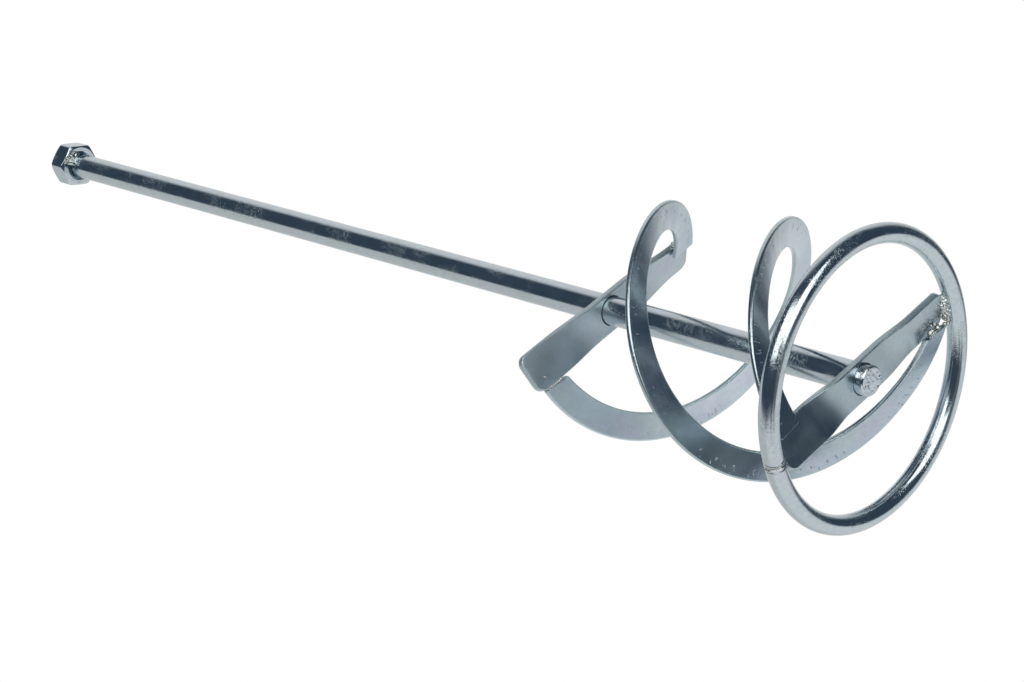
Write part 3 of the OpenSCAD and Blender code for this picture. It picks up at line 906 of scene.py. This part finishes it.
@dataclass
class Collar:
    """Weld fillet round the shaft, over part of a turn or all of it."""

    name: str
    node: str
    z: float
    way: int
    leg: float
    shaft_r: float = 6.0
    middle: float = 0.0
    arc: float = 360.0
    seed: int = 90
    drops: tuple[tuple[float, float, float, float], ...] = ()

    def build(self, material: bpy.types.Material) -> None:
        """Quarter-round section turned about the shaft; leg * (cos, sin) with noise and ripples,
        shrinking to a small end on both sides of a part turn."""
        whole = self.arc >= 360
        n = 300
        share = np.linspace(0, 1, n, endpoint=not whole)
        a = np.radians(self.middle - self.arc / 2 + self.arc * share)[:, None]
        v = np.linspace(0, np.pi / 2, 16)
        taper = np.ones(n) if whole else np.sqrt(np.clip(1 - (2 * share - 1) ** 8, 0.02, 1))
        leg = self.leg * 0.9 * taper[:, None]
        r = self.shaft_r + leg * np.cos(v)
        z = leg * np.sin(v)
        spot = np.stack([r * np.cos(a), r * np.sin(a), self.z + z], -1)
        swell = 1 + 0.10 * lumps(spot, 2.5, self.seed)
        swell = swell + 0.035 * np.sin(a * 7 + np.sin(a * 3))
        swell = np.clip(swell, 0.6, 1.11)
        r = self.shaft_r - 0.1 + leg * np.cos(v) * swell
        z = self.z + self.way * leg * np.sin(v) * swell
        outer = np.stack([r * np.cos(a), r * np.sin(a), z + 0 * a], -1)
        inner_r = np.full_like(a, self.shaft_r - 0.15)
        root = np.stack([inner_r * np.cos(a), inner_r * np.sin(a), self.z + 0 * a], -1)
        grid = np.concatenate([outer, root], axis=1)
        skin = Skin(self.name, Slot.WELD)
        skin.add(grid, close_u=whole, close_v=True)
        if not whole:
            for k in (0, -1):
                skin.cap(grid[k], grid[k].mean(axis=0))
        for drop in self.drops:
            spatter(skin, drop, self.seed + 2)
        skin.build(material, (self.node,))


@dataclass
class Cage:
    """Sizes that the crossbars, blades and their welds share."""

    inner_r: float = 52.0
    front_face: float = 5.4
    rear_face: float = 135.7
    bar_t: float = 3.0
    blade_w: float = 12.0
    blade_t: float = 2.2
    a_outs: tuple[float, float, float] = (-3.6, -1.9, -2.9)
    b_outs: tuple[float, float, float] = (-1.8, 1.8, -4.3)
    a_lap_front: float = 2.2
    a_gap: float = 0.8
    a_lap_rear: float = 3.2
    rear_gap: float = 0.2
    b_lap_front: float = 1.0
    b_gap: float = 1.2
    butt_gap: float = 0.3
    b_bow: float = 4.0
    shaft_leg: float = 1.4
    nut_leg: float = 2.4

    def bars(self) -> tuple[Crossbar, Crossbar]:
        """The front and the rear crossbar."""
        front = Crossbar("front_crossbar_plate", "front_crossbar", self.front_face, -3.0, 0.2,
                         BarEnd(1, self.inner_r - 1.7, 13.5), BarEnd(-1, self.inner_r - 1.7, 24),
                         11, 20)
        rear = Crossbar("rear_crossbar_plate", "rear_crossbar", self.rear_face, -2.3, 0.5,
                        BarEnd(1, self.inner_r - 3.8, 21), BarEnd(-1, self.inner_r - 1.6, 28),
                        9, 31)
        return front, rear

    def corner(self, bar: Crossbar, end: BarEnd, x: float, edge: int, face: int
               ) -> tuple[float, float]:
        """A bar's corner at distance x as (y, z), with that end turned to +X."""
        turn = float(bar.twist_at(end, x))
        y = end.side * bar.shift + edge * bar.width / 2 * math.cos(turn)
        y -= face * bar.thick / 2 * math.sin(turn)
        z = bar.mid_z() + edge * bar.width / 2 * math.sin(turn)
        return y, z + face * bar.thick / 2 * math.cos(turn)

    def blades(self, front: Crossbar, rear: Crossbar) -> tuple[SpiralBlade, SpiralBlade]:
        """Both blades, hung from the bars the same way as the frame's."""
        slope = (self.rear_face - self.front_face) / (2 * math.pi * self.inner_r)
        half = self.blade_t / 2 * math.sqrt(1 + slope ** 2)

        def below(face_z: float, gap: float, lap: float, twist: float) -> float:
            """Height of a blade's middle that stays under a bar's face along its lap."""
            return face_z - gap - half - max(0.0, lap * (slope - math.tan(math.radians(twist))))

        r_in = self.inner_r
        a_front = self.corner(front, front.high, r_in, 1, -1)
        b_front = self.corner(front, front.low, r_in, 1, -1)
        a_rear = self.corner(rear, rear.high, r_in, -1, -1)
        butt_x = r_in + self.b_outs[2] - self.blade_w / 2
        b_low = self.corner(rear, rear.low, butt_x, -1, -1)
        b_high = self.corner(rear, rear.low, butt_x, -1, 1)
        y0a, y0b = a_front[0] - self.a_lap_front, b_front[0] - self.b_lap_front
        y1a, y1b = a_rear[0] + self.a_lap_rear, b_high[0] - self.butt_gap
        za = a_front[1] - self.a_lap_front * math.tan(math.radians(front.high.twist))
        zb = b_front[1] - self.b_lap_front * math.tan(math.radians(front.low.twist))
        outs_a = tuple(r_in + o for o in self.a_outs)
        outs_b = tuple(r_in + o for o in self.b_outs)

        def angle(y: float, r: float) -> float:
            """Angle in degrees of a place at radius r on the line y."""
            return math.degrees(math.asin(y / r))

        a = SpiralBlade(
            "spiral_blade_a_strip", "spiral_blade_a", 0, outs_a, y0a, y1a,
            (front.turn + angle(y0a, outs_a[0] - self.blade_w),
             below(za, self.a_gap, self.a_lap_front, front.high.twist)),
            (360 + rear.turn + angle(a_rear[0], outs_a[2]),
             below(a_rear[1], self.rear_gap, self.a_lap_rear, rear.high.twist)),
            0, front.turn, rear.turn, self.blade_w, self.blade_t, seed=50)
        b = SpiralBlade(
            "spiral_blade_b_strip", "spiral_blade_b", 180, outs_b, y0b, y1b,
            (front.turn + angle(y0b, outs_b[0] - self.blade_w),
             below(zb, self.b_gap, self.b_lap_front, front.low.twist)),
            (360 + rear.turn + angle(y1b, butt_x), (b_low[1] + b_high[1]) / 2),
            self.b_bow, front.turn, rear.turn, self.blade_w, self.blade_t, seed=60)
        return a, b

    def welds(self, front: Crossbar, rear: Crossbar, a: SpiralBlade, b: SpiralBlade
              ) -> list[Bead]:
        """Beads at the blades' and the ring's joints.

        Paths are given in the frame of a bar's end turned to +X. Drops of spatter are in the
        row's own frame, as x, y, z and radius.
        """
        def line(bar: Crossbar, end: BarEnd, *places: tuple[float, float, float]) -> Array:
            """Path through places given in the frame of a bar's end turned to +X."""
            return turned(np.array(places), bar.turn + (0 if end.side > 0 else 180))

        def z_at(blade: SpiralBlade, turn: float, x: float, y: float) -> float:
            """Height of a blade's middle over a place in that frame."""
            angle = turn + math.degrees(math.atan2(y, x))
            climb = (blade.high[1] - blade.low[1]) / (blade.high[0] - blade.low[0])
            return blade.low[1] + climb * (angle - blade.low[0])

        za = z_at(a, front.turn, 43, a.y0)
        zb = z_at(b, front.turn, 43, b.y0)
        edge_a = self.corner(rear, rear.high, 42, -1, -1)
        butt = self.corner(rear, rear.low, 42, -1, 0)
        out = self.inner_r - 0.6
        tilt_b = math.tan(math.radians(front.low.twist))
        mid = front.mid_z()
        return [
            Bead("blade_a_front_bead", "blade_a_front_weld",
                 line(front, front.high, (39, a.y0 - 0.2, za + 1.1), (46.5, a.y0 - 0.2, za + 1.1)),
                 1.0, seed=71,
                 drops=((42.6, 1.7, 5.7, 0.7), (44.6, 2.2, 5.6, 0.9), (48.9, 4.4, 4.3, 1.0),
                        (50.2, 4.9, 4.0, 1.0), (51.2, 5.2, 3.6, 0.8))),
            Bead("blade_b_front_bead", "blade_b_front_weld",
                 line(front, front.low, (39, b.y0 - 0.2, zb + 0.7), (47, b.y0 - 0.2, zb + 0.7)),
                 0.9, seed=73),
            Bead("blade_a_rear_bead", "blade_a_rear_weld",
                 line(rear, rear.high, (38, edge_a[0] - 0.8, edge_a[1] + 0.4),
                      (46, edge_a[0] - 0.8, edge_a[1] + 0.4)), 1.2, seed=75,
                 drops=((40.7, -9.4, 135.0, 0.75),)),
            Bead("blade_b_rear_bead", "blade_b_rear_weld",
                 line(rear, rear.low, (37, butt[0] - 0.2, butt[1]),
                      (46, butt[0] - 0.2, butt[1])), 1.0, (1, 1, 1.35), seed=77,
                 drops=((-44.3, 4.8, 134.0, 0.65), (-48.2, 5.9, 134.2, 0.5))),
            Bead("ring_bar_bead_a", "ring_bar_weld_a",
                 line(front, front.high, (out, -4.8, mid - 1.3), (out, 0.5, mid - 1.6),
                      (out - 0.3, 4.0, mid - 1.9), (out - 0.5, 7.0, mid - 2.3)), 1.9,
                 (0.85, 1, 1), rough=0.27, lump=1.9, seed=79,
                 drops=((46.4, -5.2, 4.9, 0.7), (49.3, -3.6, 4.6, 0.9))),
            Bead("ring_bar_bead_b", "ring_bar_weld_b",
                 line(front, front.low, (out, -5, mid - 5 * tilt_b),
                      (out, 5, mid + 5 * tilt_b)), 1.8, (0.7, 1, 1), seed=81),
        ]

    def collars(self, nut: DriveNut) -> list[Collar]:
        """Fillets round the shaft, above both bars and under the nut."""
        return [
            Collar("front_collar_bead", "front_bar_shaft_weld", self.front_face + self.bar_t, 1,
                   self.shaft_leg, seed=91),
            Collar("rear_collar_bead", "rear_bar_shaft_weld", self.rear_face + self.bar_t, 1,
                   self.shaft_leg, seed=93),
            Collar("nut_bead", "nut_weld", nut.z, -1, self.nut_leg, middle=245, arc=75, seed=95,
                   drops=((-3.5, -7.1, 511.6, 1.7), (-5.9, -6.9, 512.5, 1.2),
                          (-7.6, -6.1, 512.6, 0.9), (-2.6, -9.6, 512.8, 0.7))),
        ]


# ---------------------------------------------------------------- stage


@dataclass(frozen=True)
class Panel:
    """A soft-edged panel of light or dark in the studio, by compass angle and height.

    Height is the vertical part of a unit direction, from -1 straight down to 1 straight up.
    """

    middle: float
    half: float
    low: float
    high: float
    colour: tuple[float, float, float]
    soft_angle: float = 8.0
    soft_height: float = 0.05


@dataclass(frozen=True)
class Spot:
    """A round soft patch: direction by compass angle and elevation, radius and softness."""

    angle: float
    elevation: float
    radius: float
    soft: float
    colour: tuple[float, float, float]


@dataclass
class Studio:
    """Camera, surroundings and floor."""

    camera_at: tuple[float, float, float] = (-588.110, -507.763, -553.017)
    right: tuple[float, float, float] = (0.678379, 0.237949, -0.695113)
    up: tuple[float, float, float] = (0.504614, -0.838552, 0.205415)
    back: tuple[float, float, float] = (-0.534010, -0.490113, -0.688929)
    lens: float = 89.03
    dark: tuple[float, float, float] = (0.040, 0.060, 0.085)
    panels: tuple[Panel, ...] = (
        Panel(104, 70, -0.945, 2.0, (0.71, 0.72, 0.73), 8, 0.05),
        Panel(76, 103, 0.05, 2.0, (0.56, 0.57, 0.57), 7, 0.24),
        Panel(187, 33, -2.0, -0.76, (0.045, 0.06, 0.08), 8, 0.08),
        Panel(336, 40, 0.32, 2.0, (0.70, 0.70, 0.71), 20, 0.28),
        Panel(266, 33, -0.985, -0.43, (1.75, 1.75, 1.75), 6, 0.03),
        Panel(237, 18, -0.50, 0.41, (1.7, 1.7, 1.7), 4, 0.03),
    )
    spots: tuple[Spot, ...] = (
        Spot(0, -90, 16, 6, (0.11, 0.13, 0.15)),
        Spot(40, 34, 22, 18, (0.78, 0.79, 0.80)),
    )
    floor_half: float = 3.0
    floor_glow: float = 0.36

    def camera(self) -> None:
        """Camera from below the ring, looking up along the paddle."""
        data = bpy.data.cameras.new("camera")
        data.lens, data.sensor_width = self.lens, 36.0
        data.clip_start, data.clip_end = 0.01, 100.0
        thing = bpy.data.objects.new("camera", data)
        axes = Matrix([self.right, self.up, self.back]).transposed().to_4x4()
        axes.translation = Vector(self.camera_at) * MM
        thing.matrix_world = axes
        bpy.context.scene.collection.objects.link(thing)
        bpy.context.scene.camera = thing

    def surroundings(self) -> None:
        """World: a dark room with each panel and spot mixed over it in turn.

        A panel's share is smooth step(cos of the compass angle from its middle) * smooth step of
        height; a spot's is smooth step(cos of the angle from its direction).
        """
        world = bpy.data.worlds.new("studio")
        bpy.context.scene.world = world
        world.use_nodes = True
        n = Nodes(world.node_tree)
        world.node_tree.nodes.clear()
        way = n.add("ShaderNodeTexCoord").outputs["Generated"]
        parts = n.add("ShaderNodeSeparateXYZ")
        n.feed(parts, 0, way)
        height = parts.outputs["Z"]
        flat = n.add("ShaderNodeVectorMath", operation="MULTIPLY")
        n.feed(flat, 0, way)
        n.feed(flat, 1, (1.0, 1.0, 0.0))
        unit = n.add("ShaderNodeVectorMath", operation="NORMALIZE")
        n.feed(unit, 0, flat.outputs[0])

        def toward(vector: bpy.types.NodeSocket, axis: tuple[float, float, float], radius: float,
                   soft: float) -> bpy.types.NodeSocket:
            """Share of a direction inside a cone round an axis, by angles in degrees."""
            dot = n.add("ShaderNodeVectorMath", operation="DOT_PRODUCT")
            n.feed(dot, 0, vector)
            n.feed(dot, 1, axis)
            outer = math.cos(math.radians(min(180.0, radius + soft)))
            inner = math.cos(math.radians(max(0.0, radius - soft)))
            return n.ramp(dot.outputs["Value"], outer, inner)

        total: object = (*self.dark, 1)
        for panel in self.panels:
            a = math.radians(panel.middle)
            share = toward(unit.outputs[0], (math.cos(a), math.sin(a), 0.0), panel.half,
                           panel.soft_angle)
            soft = panel.soft_height
            share = n.maths("MULTIPLY", share,
                            n.ramp(height, panel.low - soft, panel.low + soft))
            share = n.maths("MULTIPLY", share,
                            n.ramp(height, panel.high - soft, panel.high + soft, 1.0, 0.0))
            total = n.mix(share, total, (*panel.colour, 1))
        for spot in self.spots:
            a, e = math.radians(spot.angle), math.radians(spot.elevation)
            axis = (math.cos(a) * math.cos(e), math.sin(a) * math.cos(e), math.sin(e))
            total = n.mix(toward(way, axis, spot.radius, spot.soft), total, (*spot.colour, 1))
        lit = n.add("ShaderNodeBackground")
        n.feed(lit, "Color", total)
        white = n.add("ShaderNodeBackground")
        n.feed(white, "Color", (1, 1, 1, 1))
        pick = n.add("ShaderNodeMixShader")
        n.feed(pick, 0, n.add("ShaderNodeLightPath").outputs["Is Camera Ray"])
        n.feed(pick, 1, lit.outputs[0])
        n.feed(pick, 2, white.outputs[0])
        out = n.add("ShaderNodeOutputWorld")
        n.feed(out, "Surface", pick.outputs[0])

    def floor(self) -> None:
        """Pale floor under the ring, seen only from above and by the camera."""
        size = self.floor_half
        mesh = bpy.data.meshes.new("floor")
        mesh.from_pydata([(-size, -size, 0), (size, -size, 0), (size, size, 0), (-size, size, 0)],
                         [], [(0, 1, 2, 3)])
        thing = bpy.data.objects.new("floor", mesh)
        bpy.context.scene.collection.objects.link(thing)
        paint = bpy.data.materials.new("floor_paint")
        paint.use_nodes = True
        n = Nodes(paint.node_tree)
        shader = paint.node_tree.nodes["Principled BSDF"]
        shader.inputs["Base Color"].default_value = (0.93, 0.93, 0.93, 1)
        shader.inputs["Roughness"].default_value = 0.9
        shader.inputs["Emission Color"].default_value = (1, 1, 1, 1)
        shader.inputs["Emission Strength"].default_value = self.floor_glow
        seen = n.maths("MULTIPLY", n.add("ShaderNodeLightPath").outputs["Is Camera Ray"],
                       n.maths("SUBTRACT", 1.0,
                               n.add("ShaderNodeNewGeometry").outputs["Backfacing"]))
        pick = n.add("ShaderNodeMixShader")
        n.feed(pick, 0, seen)
        n.feed(pick, 1, n.add("ShaderNodeBsdfTransparent").outputs[0])
        n.feed(pick, 2, shader.outputs[0])
        out = paint.node_tree.nodes["Material Output"]
        n.feed(out, "Surface", pick.outputs[0])
        mesh.materials.append(paint)

    def build(self) -> None:
        """Camera, surroundings, floor and view settings."""
        self.camera()
        self.surroundings()
        self.floor()
        bpy.context.scene.view_settings.view_transform = "Standard"


def main() -> None:
    """Builds the paddle's pieces and the studio."""
    logging.basicConfig(level=logging.INFO, format="%(name)s: %(message)s")
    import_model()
    plating_group()
    nick_group()
    zinc, bead = steel(ZINC), steel(WELD)
    Shaft().build(zinc)
    nut = DriveNut()
    nut.build(zinc)
    GuardRing().build(zinc, bead)
    cage = Cage()
    front, rear = cage.bars()
    blade_a, blade_b = cage.blades(front, rear)
    front.build(steel(FRONT_ZINC))
    rear.build(steel(REAR_ZINC))
    blade_a.build(steel(BLADE_A_ZINC))
    blade_b.build(steel(BLADE_B_ZINC))
    for weld in (*cage.welds(front, rear, blade_a, blade_b), *cage.collars(nut)):
        weld.build(bead)
    Studio().build()


if __name__ == "__main__":
    main()
